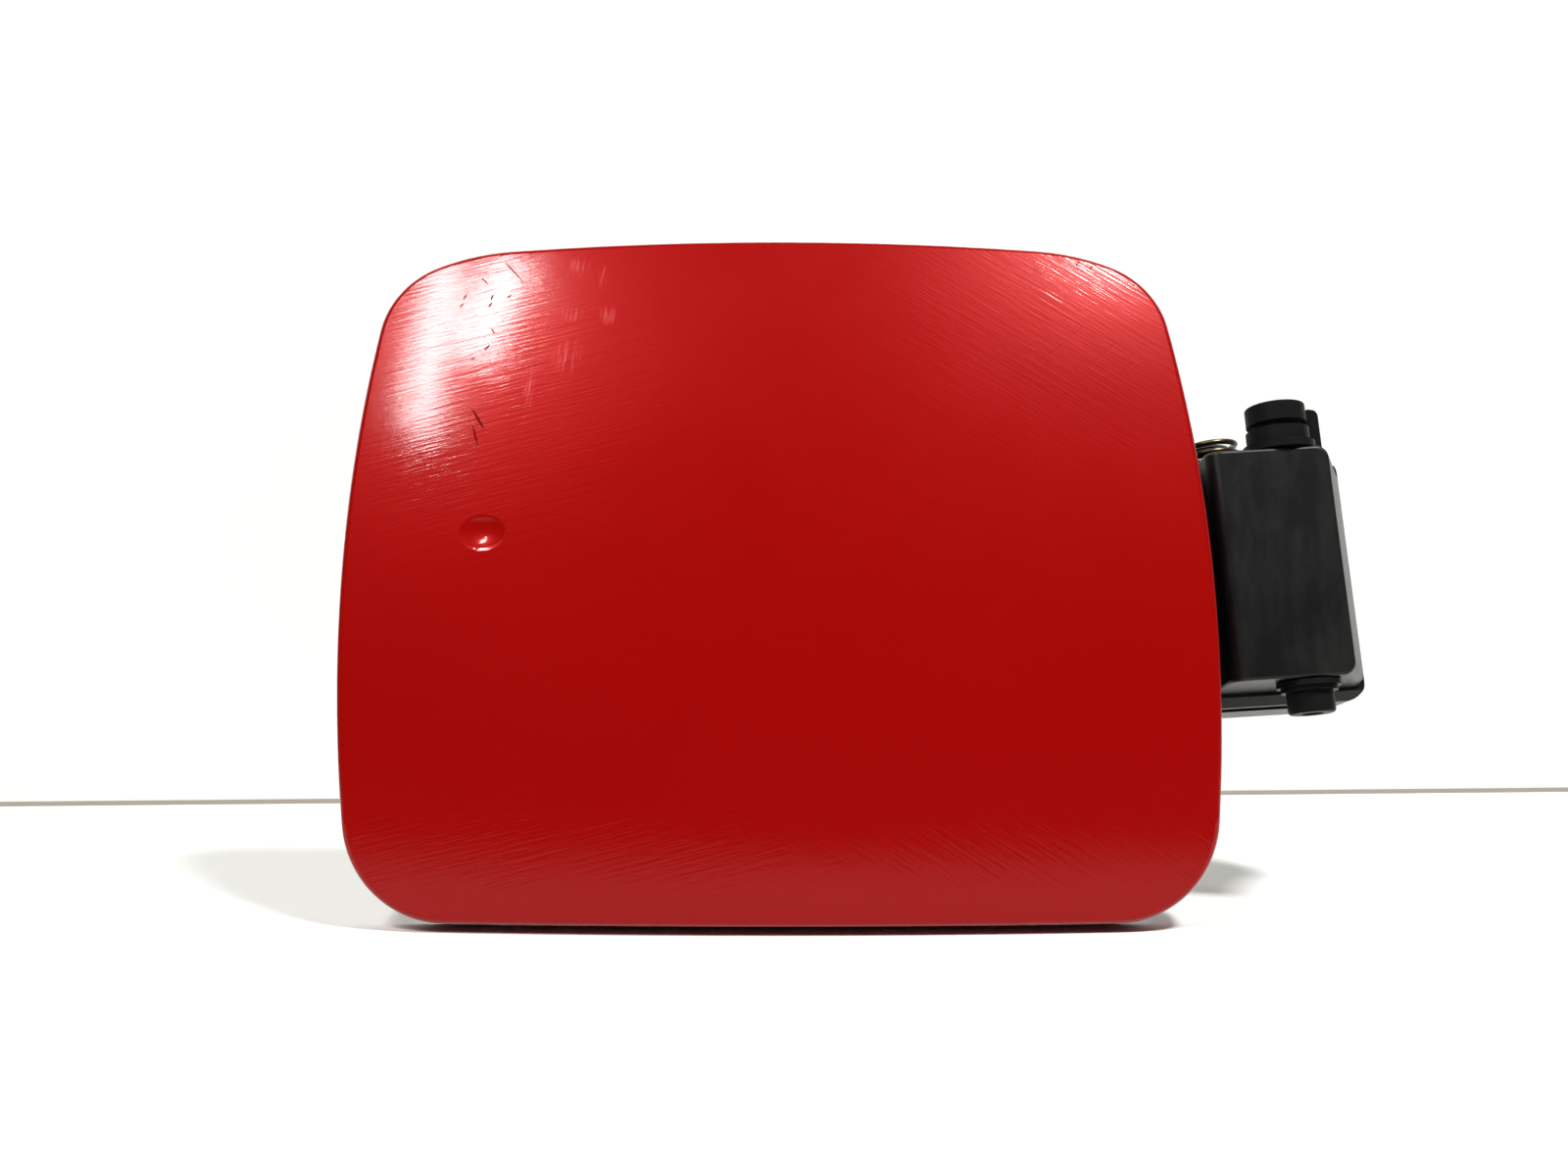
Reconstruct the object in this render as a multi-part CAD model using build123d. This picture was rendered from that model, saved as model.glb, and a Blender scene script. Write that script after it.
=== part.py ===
from build123d import *
import os
from math import atan, cos, degrees, radians, sin, sqrt

# Car fuel door: a crowned, hemmed steel flap on a moulded goose-neck hinge arm.
# All sizes are in millimetres and degrees.
# Flap frame: x to the hinge side, y inwards from the crown's front point, z up along the flap.
# Arm frame: z along the hinge axis from the middle of the lower journal, y inwards.
# Finished frame: origin at the middle of the lower journal, +X to the hinge side, +Y inwards, +Z up.

# Outline of the flap, a chain of tangent arcs for each half
FLAP_WIDTH = 191.5
FLAP_HEIGHT = 153.8
FLAP_TOP = 82.4
SHOULDER_RADIUS = 52.0
TOP_CORNER_RADIUS = 20.0
FOOT_CORNER_RADIUS = 23.0
TOP_EDGE_TURN = 2.7
SHOULDER_TURN = 21.8
SIDE_START_TURN = 80.5
SIDE_END_TURN = 95.1
FOOT_EDGE_TURN = 178.9
SIDE_SKEW = 0.8

# Crown of the flap
CROWN_ACROSS = 800.0
CROWN_UP = 450.0
LAYER_MARGIN = 12.0
LAYER_BEHIND = 90.0

# Outer skin
SKIN_THICKNESS = 0.8
SKIRT_DEPTH = 11.0
EDGE_RADIUS = 1.4
HEM_WIDTH = 7.0
DIMPLE_FROM_EDGE = 30.15
DIMPLE_X = DIMPLE_FROM_EDGE - FLAP_WIDTH / 2
DIMPLE_Z = 12.9
DIMPLE_WIDTH = 9.8
DIMPLE_HEIGHT = 7.4
DIMPLE_DEPTH = 0.8
DIMPLE_BLEND = 1.6

# Inner panel
PANEL_THICKNESS = 0.8
HEM_CLEARANCE = 0.05
FIELD_GAP = 3.5
DISH_INSET = 13.0
DISH_BEND = 2.0
BEAD_HEIGHT = 2.4
BEAD_WIDTH = 11.0
UPPER_BEAD_MARGIN = 95.5
UPPER_BEAD_LENGTH = FLAP_WIDTH - UPPER_BEAD_MARGIN
UPPER_BEAD_X = 4.0
UPPER_BEAD_Z = 52.0
LOWER_BEAD_LENGTH = 52.0
LOWER_BEAD_X = 34.0
LOWER_BEAD_Z = -42.0
DRAIN_RADIUS = 4.0
DRAIN_X = -10.0
DRAIN_Z = -46.0

# Hinge axis
HINGE_BEYOND_EDGE = 25.45
HINGE_X = FLAP_WIDTH / 2 + HINGE_BEYOND_EDGE
HINGE_DEPTH = 27.0
HINGE_Z = -21.45
HINGE_TILT = 3.55
LEAN = 11.5

# Pivot bushes and pin
JOURNAL_RADIUS = 5.3
JOURNAL_LENGTH = 5.0
JOURNAL_END_RADIUS = 0.8
FLANGE_RADIUS = 7.2
FLANGE_THICKNESS = 1.2
STEP_RADIUS = 6.35
STEP_THICKNESS = 1.1
END_CLEARANCE = 0.3
SLEEVE_RADIUS = 5.3
SLEEVE_LENGTH = 16.0
RUNNING_CLEARANCE = 0.05
COLLAR_BASE_RADIUS = 8.2
COLLAR_BASE_THICKNESS = 1.8
COLLAR_RADIUS = 7.2
COLLAR_HEIGHT = 5.3
GROOVE_RADIUS = 5.7
GROOVE_WIDTH = 1.45
CAP_RADIUS = 6.9
CAP_HEIGHT = 4.5
CAP_EDGE_RADIUS = 0.5
LUG_REACH = 11.9
LUG_WIDTH = 4.0
LUG_CLEARANCE = 0.6
LUG_ANGLE = 28.0
LUG_CAP_OVERLAP = 4.3
PIN_RADIUS = 2.5
PIN_CLEARANCE = 0.02
PIN_RECESS = 2.0

# Hinge arm, seen along the hinge axis
BARREL_HEIGHT = 53.6
BARREL_FRONT = 7.0
BARREL_LEFT = 19.0
BARREL_RIGHT = 8.9
BARREL_FLARE = 10.0
BARREL_BACK = 17.0
NECK_BACK = 42.0
NECK_EXTRA = 3.0
THROAT_WIDTH = 18.0
LEG_WIDTH = 13.0
FOOT_LENGTH = 45.0
FOOT_THICKNESS = 5.0
BARREL_LEFT_CORNER = 3.5
BARREL_ROUND = 3.0
NECK_CORNER = 14.0
NECK_ROUND = 4.0
THROAT_CORNER = 6.0
FOOT_ROOT = 6.0
ARM_EDGE = 0.8
ARM_GAP = 0.1
CORE_WALL = 3.0
CORE_DEPTH = 7.5
CORE_COLUMNS = 3
CORE_ROWS = 3
SLOT_WIDTH = 7.0
SLOT_DEPTH = 40.0
SLOT_FRONT_WALL = 4.0
SLOT_RIGHT_WALL = 8.0
GUSSET_THICKNESS = 3.0
GUSSET_REACH = 18.0
GUSSET_HEIGHT = 14.0

# Toggle spring on the arm's top
WIRE_RADIUS = 0.7
COIL_RADIUS = 6.6
COIL_PITCH = 2.2
COIL_TURNS = 2.25
SPRING_X = -9.5
SPRING_Y = 25.5
BOSS_HEIGHT = 1.2
POST_CLEARANCE = 0.5
POST_CHAMFER = 0.6
SPRING_SEAT = 0.05
UPPER_LEG_LENGTH = 5.0
LOWER_LEG_LENGTH = 16.0

# Studs and nuts of the arm's foot
STUD_RADIUS = 2.95
STUD_HEAD_RADIUS = 6.0
STUD_HEAD_THICKNESS = 1.5
STUD_PROUD = 2.0
STUD_CLEARANCE = 0.35
STUD_INSET = 11.0
STUD_SPREAD = 16.0
STUD_STEP = 20.0
NUT_ACROSS_FLATS = 10.0
NUT_HEIGHT = 6.0
NUT_FLANGE_RADIUS = 7.0
NUT_FLANGE_THICKNESS = 1.4
NUT_CLEARANCE = 0.05

# Latch striker behind the push dimple
STRIKER_FROM_EDGE = 29.75
STRIKER_X = STRIKER_FROM_EDGE - FLAP_WIDTH / 2
STRIKER_Z = 11.3
STRIKER_BASE_LENGTH = 40.0
STRIKER_BASE_WIDTH = 16.0
STRIKER_BASE_THICKNESS = 2.6
STRIKER_CORNER = 4.0
TONGUE_LENGTH = 24.0
TONGUE_WIDTH = 17.0
TONGUE_THICKNESS = 4.0
EYE_SIZE = 10.0
EYE_END_WALL = 3.5
EYE_CORNER = 2.0
RIVET_SPACING = 29.0
RIVET_RADIUS = 2.0
RIVET_HEAD_RADIUS = 3.8
RIVET_HEAD_HEIGHT = 1.6
RIVET_TAIL_THICKNESS = 1.2
RIVET_CLEARANCE = 0.05

# Rubber buffers at the free edge
BUFFER_FROM_EDGE = 35.75
BUFFER_X = BUFFER_FROM_EDGE - FLAP_WIDTH / 2
UPPER_BUFFER_Z = 47.0
LOWER_BUFFER_Z = -36.0
BUFFER_RADIUS = 7.0
BUFFER_HEIGHT = 11.0
BUFFER_DOME = 2.5
BUFFER_STEM_RADIUS = 3.0
BUFFER_BARB_RADIUS = 4.4
BUFFER_BARB_THICKNESS = 1.6
BUFFER_CLEARANCE = 0.1

# Holder for the filler cap
HOLDER_X = -18.0
HOLDER_Z = 6.0
HOLDER_BASE_LENGTH = 36.0
HOLDER_BASE_WIDTH = 18.0
HOLDER_BASE_THICKNESS = 2.6
HOLDER_CORNER = 4.0
FORK_GAP = 13.0
FORK_THICKNESS = 3.0
FORK_HEIGHT = 15.0
FORK_LIP = 2.0
FORK_LIP_HEIGHT = 2.4
PEG_SPACING = 28.0
PEG_RADIUS = 2.2
PEG_LENGTH = 2.0

# Mastic pads between skin and inner panel
PAD_RADIUS = 8.0
PAD_CLEARANCE = 0.05
PAD_PLACES = [(-30.0, 34.0), (10.0, 38.0), (-34.0, -28.0), (2.0, -26.0)]

# Levels along the hinge axis
JOURNAL_TOP = JOURNAL_LENGTH / 2
FLANGE_TOP = JOURNAL_TOP + STEP_THICKNESS + FLANGE_THICKNESS
BARREL_LOW = FLANGE_TOP + END_CLEARANCE
BARREL_TOP = BARREL_LOW + BARREL_HEIGHT
NECK_LOW = BARREL_LOW - NECK_EXTRA
NECK_TOP = BARREL_TOP + NECK_EXTRA
NECK_HEIGHT = NECK_TOP - NECK_LOW
COLLAR_LOW = BARREL_TOP + END_CLEARANCE
GROOVE_LOW = COLLAR_LOW + COLLAR_HEIGHT
CAP_LOW = GROOVE_LOW + GROOVE_WIDTH
CAP_TOP = CAP_LOW + CAP_HEIGHT

# Depths below the crowned outer surface
RIM_BACK = SKIRT_DEPTH - SKIN_THICKNESS - HEM_CLEARANCE
RIM_FRONT = RIM_BACK - PANEL_THICKNESS
FIELD_FRONT = SKIN_THICKNESS + FIELD_GAP
FIELD_BACK = FIELD_FRONT + PANEL_THICKNESS

# Right side of the neck, where the barrel's flared side ends
NECK_RIGHT = BARREL_RIGHT + BARREL_FLARE

INWARDS = Vector(0, 1, 0)
ARM_PLACE = Pos(HINGE_X, HINGE_DEPTH, HINGE_Z) * Rot(Y=-HINGE_TILT)
ROW_PLACE = Rot(X=-LEAN) * Pos(-HINGE_X, -HINGE_DEPTH, -HINGE_Z)


def crown_depth(x, z, offset):
    """Depth y of the crowned surface that lies offset behind the outer one."""
    ring = CROWN_ACROSS - CROWN_UP + sqrt((CROWN_UP - offset) ** 2 - z**2)
    return CROWN_ACROSS - sqrt(ring**2 - x**2)


def crown_layer(front, back):
    """Everything between two depths below the crowned outer surface."""
    half_height = FLAP_HEIGHT - FLAP_TOP + LAYER_MARGIN
    top = FLAP_TOP + LAYER_MARGIN
    arcs = []
    for offset in (front, back):
        low_point = (crown_depth(0, half_height, offset), -half_height)
        top_point = (crown_depth(0, top, offset), top)
        arcs.append(ThreePointArc(low_point, (offset, 0), top_point))
    ends = [Line(arcs[0] @ 0, arcs[1] @ 0), Line(arcs[0] @ 1, arcs[1] @ 1)]
    profile = Plane.YZ * make_face(arcs + ends)
    upright = Axis((0, CROWN_ACROSS, 0), (0, 0, 1))
    half_sweep = degrees(atan((FLAP_WIDTH / 2 + LAYER_MARGIN) / (CROWN_ACROSS - back)))
    return revolve(profile, upright, 2 * half_sweep).rotate(upright, -half_sweep)


def half_outline(side, inset):
    """Tangent arcs from the middle of the top edge to the middle of the foot edge."""
    skew = -side * SIDE_SKEW
    turns = [TOP_EDGE_TURN, SHOULDER_TURN, SIDE_START_TURN + skew, SIDE_END_TURN + skew, FOOT_EDGE_TURN]
    s1, s2, s3, s4, s5 = [sin(radians(turn)) for turn in turns]
    c1, c2, c3, c4, c5 = [cos(radians(turn)) for turn in turns]
    # Top, side and foot radii follow from the width, the height and the corners
    across = FLAP_WIDTH / 2 - SHOULDER_RADIUS * (s2 - s1) - TOP_CORNER_RADIUS * (s3 - s2)
    under = FLAP_WIDTH / 2 + FOOT_CORNER_RADIUS * (s5 - s4)
    down = FLAP_HEIGHT - SHOULDER_RADIUS * (c1 - c2) - TOP_CORNER_RADIUS * (c2 - c3)
    down -= FOOT_CORNER_RADIUS * (c4 - c5)
    top_share = (1 - c1) / s1
    foot_share = (1 + c5) / s5
    side_radius = down - across * top_share - under * foot_share
    side_radius /= (c3 - c4) - (1 - s3) * top_share - (1 - s4) * foot_share
    top_radius = (across - side_radius * (1 - s3)) / s1
    foot_radius = (under - side_radius * (1 - s4)) / s5
    radii = [top_radius, SHOULDER_RADIUS, TOP_CORNER_RADIUS, side_radius, FOOT_CORNER_RADIUS, foot_radius]
    x = 0.0
    z = FLAP_TOP - inset
    arcs = []
    for radius, start, end in zip(radii, [0, *turns], [*turns, 180]):
        points = []
        for turn in (start, (start + end) / 2, end):
            run = (radius - inset) * (sin(radians(turn)) - sin(radians(start)))
            drop = (radius - inset) * (cos(radians(start)) - cos(radians(turn)))
            points.append((side * (x + run), 0, z - drop))
        arcs.append(ThreePointArc(*points))
        x += run
        z -= drop
    return arcs


def outline_face(inset, depth):
    """The flap's outline, drawn in by inset, at one depth."""
    return Pos(0, depth, 0) * make_face(half_outline(1, inset) + half_outline(-1, inset))


def outline_prism(inset):
    """Straight block of the outline, deep enough for every layer."""
    return extrude(outline_face(inset, -LAYER_MARGIN), LAYER_BEHIND, dir=INWARDS)


def stadium(length, width, x, z):
    """Upright block with round ends, along x, through the whole depth."""
    shape = Plane.XZ * SlotOverall(length, width)
    return Pos(x, -LAYER_MARGIN, z) * extrude(shape, LAYER_BEHIND, dir=INWARDS)


def inward_cylinder(radius, x, z, start, length):
    """Cylinder along y, from one depth inwards."""
    return Pos(x, start + length / 2, z) * Rot(X=90) * Cylinder(radius, length)


def dimple_form(extra):
    """Lemon-shaped solid of the push dimple's form, grown by extra."""
    long_radius = ((DIMPLE_WIDTH / 2) ** 2 + DIMPLE_DEPTH**2) / (2 * DIMPLE_DEPTH) + extra
    short_radius = ((DIMPLE_HEIGHT / 2) ** 2 + DIMPLE_DEPTH**2) / (2 * DIMPLE_DEPTH) + extra
    half_length = sqrt(long_radius**2 - (long_radius - short_radius) ** 2)
    arc = ThreePointArc((-half_length, 0), (0, -short_radius), (half_length, 0))
    lemon = revolve(make_face([arc, Line(arc @ 1, arc @ 0)]), Axis.X, 360)
    depth = crown_depth(DIMPLE_X, DIMPLE_Z, 0) + DIMPLE_DEPTH + extra - short_radius
    return Pos(DIMPLE_X, depth, DIMPLE_Z) * lemon


def make_outer_skin():
    """Pressed skin with its folded skirt, hem lip and push dimple."""
    block = outline_prism(0) & crown_layer(0, SKIRT_DEPTH)
    front = block.faces().sort_by(Axis.Y)[0]
    block = fillet(front.edges(), EDGE_RADIUS)
    hollow = outline_prism(SKIN_THICKNESS) & crown_layer(SKIN_THICKNESS, SKIRT_DEPTH - SKIN_THICKNESS)
    mouth = outline_prism(HEM_WIDTH) & crown_layer(SKIRT_DEPTH / 2, SKIRT_DEPTH + LAYER_MARGIN)
    skin = block - hollow - mouth
    bulge = dimple_form(SKIN_THICKNESS) & crown_layer(SKIN_THICKNESS / 2, SKIRT_DEPTH)
    skin = skin + bulge - dimple_form(0)
    low_x = DIMPLE_X - DIMPLE_WIDTH
    low_z = DIMPLE_Z - DIMPLE_HEIGHT
    rims = skin.edges().filter_by_position(Axis.X, low_x, low_x + 2 * DIMPLE_WIDTH)
    rims = rims.filter_by_position(Axis.Z, low_z, low_z + 2 * DIMPLE_HEIGHT)
    return fillet(rims.group_by(Axis.Y)[0], DIMPLE_BLEND)


def make_inner_panel():
    """Pressed inner panel: rim in the hem, dish, two beads and the fixing holes."""
    rim_inset = SKIN_THICKNESS + HEM_CLEARANCE
    rim = outline_prism(rim_inset) - outline_prism(DISH_INSET)
    rim &= crown_layer(RIM_FRONT, RIM_BACK)
    plug = outline_prism(DISH_INSET - PANEL_THICKNESS) & crown_layer(FIELD_FRONT, RIM_BACK)
    plug = fillet(plug.faces().sort_by(Axis.Y)[0].edges(), DISH_BEND + PANEL_THICKNESS)
    dish = outline_prism(DISH_INSET) & crown_layer(FIELD_BACK, RIM_BACK + LAYER_MARGIN)
    dish = fillet(dish.faces().sort_by(Axis.Y)[0].edges(), DISH_BEND)
    panel = rim + plug - dish
    rim_face = panel.faces().filter_by(lambda face: face.inner_wires()).sort_by(Axis.Y)[-1]
    panel = fillet(rim_face.inner_wires()[0].edges(), DISH_BEND)
    for length, x, z in (
        (UPPER_BEAD_LENGTH, UPPER_BEAD_X, UPPER_BEAD_Z),
        (LOWER_BEAD_LENGTH, LOWER_BEAD_X, LOWER_BEAD_Z),
    ):
        outer = stadium(length, BEAD_WIDTH, x, z)
        inner = stadium(length - 2 * PANEL_THICKNESS, BEAD_WIDTH - 2 * PANEL_THICKNESS, x, z)
        panel += outer & crown_layer(FIELD_FRONT, FIELD_BACK + BEAD_HEIGHT)
        panel -= inner & crown_layer(0, FIELD_FRONT + BEAD_HEIGHT)
    for x, z, radius in panel_holes():
        panel -= inward_cylinder(radius, x, z, 0, SKIRT_DEPTH + LAYER_MARGIN)
    return panel


def panel_holes():
    """Places and radii of the round holes in the inner panel's field."""
    holes = [(DRAIN_X, DRAIN_Z, DRAIN_RADIUS)]
    holes += [(x, z, STUD_RADIUS + STUD_CLEARANCE) for x, z in stud_places()]
    for end in (-1, 1):
        holes.append((STRIKER_X, STRIKER_Z + end * RIVET_SPACING / 2, RIVET_RADIUS + RIVET_CLEARANCE))
        holes.append((HOLDER_X + end * PEG_SPACING / 2, HOLDER_Z, PEG_RADIUS + RIVET_CLEARANCE))
    for z in (UPPER_BUFFER_Z, LOWER_BUFFER_Z):
        holes.append((BUFFER_X, z, BUFFER_STEM_RADIUS + BUFFER_CLEARANCE))
    return holes


def foot_end():
    """Free end of the arm's foot in the arm frame."""
    return -(BARREL_LEFT + THROAT_WIDTH + LEG_WIDTH + FOOT_LENGTH)


def foot_back():
    """Back face of the arm's foot in the arm frame."""
    middle = HINGE_X + foot_end() + FOOT_LENGTH / 2
    return crown_depth(middle, 0, FIELD_BACK) + FOOT_THICKNESS - HINGE_DEPTH


def foot_level():
    """Depth of the foot's back face in the flap frame."""
    return HINGE_DEPTH + foot_back()


def stud_places():
    """The three studs, as (x, z) in the flap frame."""
    middle = (BARREL_LOW + BARREL_TOP) / 2
    first = foot_end() + STUD_INSET
    places = [(first, middle + STUD_SPREAD), (first, middle - STUD_SPREAD), (first + STUD_STEP, middle)]
    spots = [ARM_PLACE * Pos(u, 0, h) for u, h in places]
    return [(spot.position.X, spot.position.Z) for spot in spots]


def flap_back(gap):
    """Room taken by the finished flap, as seen from behind."""
    field = crown_layer(-LAYER_MARGIN, FIELD_BACK + gap)
    rim = crown_layer(-LAYER_MARGIN, SKIRT_DEPTH + gap) - outline_prism(DISH_INSET + DISH_BEND + gap)
    return field + rim


def rounded_polygon(corners):
    """Face from ((x, y), radius) corners, sharp where the radius is None."""
    face = make_face(Polyline(*[point for point, radius in corners], close=True))
    for point, radius in corners:
        if radius:
            vertex = face.vertices().sort_by_distance((*point, 0))[0]
            face = fillet(vertex, radius)
    return face


def barrel_profile():
    """Plan of the barrel with the throat's round root, run on into the neck."""
    inside = BARREL_BACK + NECK_CORNER / 2
    root = -BARREL_LEFT - THROAT_CORNER - ARM_EDGE
    return rounded_polygon([
        ((-BARREL_LEFT, -BARREL_FRONT), BARREL_LEFT_CORNER),
        ((NECK_RIGHT, -BARREL_FRONT), None),
        ((NECK_RIGHT, inside), None),
        ((root, inside), None),
        ((root, BARREL_BACK), None),
        ((-BARREL_LEFT, BARREL_BACK), THROAT_CORNER),
    ])


def neck_profile():
    """Plan of the goose-neck behind the throat, the leg and the foot."""
    leg_right = -(BARREL_LEFT + THROAT_WIDTH)
    leg_left = leg_right - LEG_WIDTH
    back = foot_back()
    front = back - FOOT_THICKNESS - LAYER_MARGIN
    return rounded_polygon([
        ((NECK_RIGHT, BARREL_BACK), None),
        ((NECK_RIGHT, NECK_BACK), NECK_CORNER),
        ((leg_left, NECK_BACK), NECK_CORNER),
        ((leg_left, back), FOOT_ROOT),
        ((foot_end(), back), None),
        ((foot_end(), front), None),
        ((leg_right, front), None),
        ((leg_right, BARREL_BACK), THROAT_CORNER),
    ])


def side_room(right, front, low, top, radius, run):
    """Room to the left of a side with round edges, run back from its front along one direction."""
    width = right - foot_end() + LAYER_BEHIND
    face = Plane.XZ * RectangleRounded(width, top - low, radius)
    face = Pos(right - width / 2, front, (low + top) / 2) * face
    return extrude(face, LAYER_BEHIND, dir=run)


def make_hinge_arm():
    """Moulded goose-neck arm, cored from behind, from the side and from below."""
    barrel = Pos(0, 0, BARREL_LOW) * extrude(barrel_profile(), BARREL_HEIGHT)
    flare = (BARREL_FLARE, BARREL_BACK + BARREL_FRONT, 0)
    barrel &= side_room(BARREL_RIGHT, -BARREL_FRONT, BARREL_LOW, BARREL_TOP, BARREL_ROUND, flare)
    front_rim = barrel.edges().group_by(Axis.Y)[0].sort_by(Axis.X)[1:]
    left_end = BARREL_LEFT_CORNER - BARREL_LEFT
    left_rim = barrel.edges().filter_by(Axis.Z, reverse=True)
    left_rim = left_rim.filter_by_position(Axis.X, -BARREL_LEFT - THROAT_CORNER, left_end)
    left_rim = left_rim.filter_by_position(Axis.Y, -BARREL_FRONT, BARREL_BACK - ARM_EDGE)
    barrel = fillet(front_rim + left_rim, ARM_EDGE)
    neck = Pos(0, 0, NECK_LOW) * extrude(neck_profile(), NECK_HEIGHT)
    rims = neck.edges().group_by(Axis.Z)[0] + neck.edges().group_by(Axis.Z)[-1]
    step = rims.filter_by(Axis.X).filter_by_position(Axis.Y, BARREL_BACK - ARM_EDGE, BARREL_BACK + ARM_EDGE)
    neck = chamfer(step, NECK_EXTRA - ARM_EDGE)
    outer = neck.edges().filter_by_position(Axis.Y, BARREL_BACK + THROAT_CORNER, NECK_BACK)
    outer = outer.group_by(Axis.Z)[0] + outer.group_by(Axis.Z)[-1]
    neck = fillet(outer, ARM_EDGE)
    neck &= side_room(NECK_RIGHT, -HINGE_DEPTH, NECK_LOW, NECK_TOP, NECK_ROUND, INWARDS)
    arm = barrel + neck
    leg_left = -(BARREL_LEFT + THROAT_WIDTH + LEG_WIDTH)
    # Cored bays in the back of the neck, between the two round corners
    left = leg_left + NECK_CORNER
    right = NECK_RIGHT - NECK_CORNER
    bay_width = (right - left - (CORE_COLUMNS - 1) * CORE_WALL) / CORE_COLUMNS
    bay_height = (NECK_HEIGHT - (CORE_ROWS + 1) * CORE_WALL) / CORE_ROWS
    for column in range(CORE_COLUMNS):
        for row in range(CORE_ROWS):
            x = left + bay_width / 2 + column * (bay_width + CORE_WALL)
            z = NECK_LOW + CORE_WALL + bay_height / 2 + row * (bay_height + CORE_WALL)
            arm -= Pos(x, NECK_BACK, z) * Box(bay_width, 2 * CORE_DEPTH, bay_height)
    # Long cored slot in the underside, between the throat's wall and the back bays
    slot_right = NECK_RIGHT - SLOT_RIGHT_WALL
    slot = Pos((left + slot_right) / 2, BARREL_BACK + SLOT_FRONT_WALL + SLOT_WIDTH / 2, NECK_LOW)
    slot *= SlotOverall(slot_right - left, SLOT_WIDTH)
    arm -= extrude(slot, SLOT_DEPTH)
    # Cored bays in the outer side of the leg
    back = foot_back()
    bay_low = back + GUSSET_HEIGHT
    bay_length = NECK_BACK - NECK_CORNER - bay_low
    for row in range(CORE_ROWS):
        z = NECK_LOW + CORE_WALL + bay_height / 2 + row * (bay_height + CORE_WALL)
        arm -= Pos(leg_left, bay_low + bay_length / 2, z) * Box(2 * CORE_DEPTH, bay_length, bay_height)
    # Gussets between the leg and the foot
    triangle = make_face(Polyline(
        (leg_left, back), (leg_left - GUSSET_REACH, back), (leg_left, back + GUSSET_HEIGHT), close=True))
    for level in (NECK_LOW + ARM_EDGE, NECK_TOP - ARM_EDGE - GUSSET_THICKNESS):
        arm += Pos(0, 0, level) * extrude(triangle, GUSSET_THICKNESS)
    # Stepped bore for the bushes and the pin
    middle = Pos(0, 0, (BARREL_LOW + BARREL_TOP) / 2)
    arm -= middle * Cylinder(PIN_RADIUS + END_CLEARANCE, BARREL_HEIGHT)
    seat_length = SLEEVE_LENGTH + END_CLEARANCE
    for level in (BARREL_LOW + seat_length / 2, BARREL_TOP - seat_length / 2):
        arm -= Pos(0, 0, level) * Cylinder(SLEEVE_RADIUS + RUNNING_CLEARANCE, seat_length)
    # Boss and post that carry the spring
    post_height = BOSS_HEIGHT + COIL_TURNS * COIL_PITCH
    post_radius = COIL_RADIUS - WIRE_RADIUS - POST_CLEARANCE
    post = Pos(SPRING_X, SPRING_Y, NECK_TOP + post_height / 2) * Cylinder(post_radius, post_height)
    post = chamfer(post.edges().group_by(Axis.Z)[-1], POST_CHAMFER)
    post += Pos(SPRING_X, SPRING_Y, NECK_TOP + BOSS_HEIGHT / 2) * Cylinder(COIL_RADIUS, BOSS_HEIGHT)
    arm = ARM_PLACE * (arm + post)
    arm -= flap_back(ARM_GAP)
    for x, z in stud_places():
        arm -= inward_cylinder(STUD_RADIUS + STUD_CLEARANCE, x, z, 0, foot_level() + FOOT_THICKNESS)
    return arm


def make_toggle_spring():
    """Wire coil on the arm's boss, with a free leg to the back and a leg along the arm."""
    low = NECK_TOP + BOSS_HEIGHT + WIRE_RADIUS + SPRING_SEAT
    place = Pos(SPRING_X, SPRING_Y, low) * Rot(Z=-90)
    coil = place * Helix(COIL_PITCH, COIL_TURNS * COIL_PITCH, COIL_RADIUS)
    lower_leg = Line((coil @ 0) - (coil % 0) * LOWER_LEG_LENGTH, coil @ 0)
    upper_leg = Line(coil @ 1, (coil @ 1) + (coil % 1) * UPPER_LEG_LENGTH)
    path = Wire([lower_leg, *coil.edges(), upper_leg])
    wire = Plane(path @ 0, z_dir=path % 0) * Circle(WIRE_RADIUS)
    return ARM_PLACE * sweep(wire, path=path)


def turned(profile):
    """Solid of revolution about the hinge axis, from (radius, level) corners."""
    face = make_face(Polyline(*[(radius, 0, level) for radius, level in profile], close=True))
    return revolve(face, Axis.Z, 360)


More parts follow.
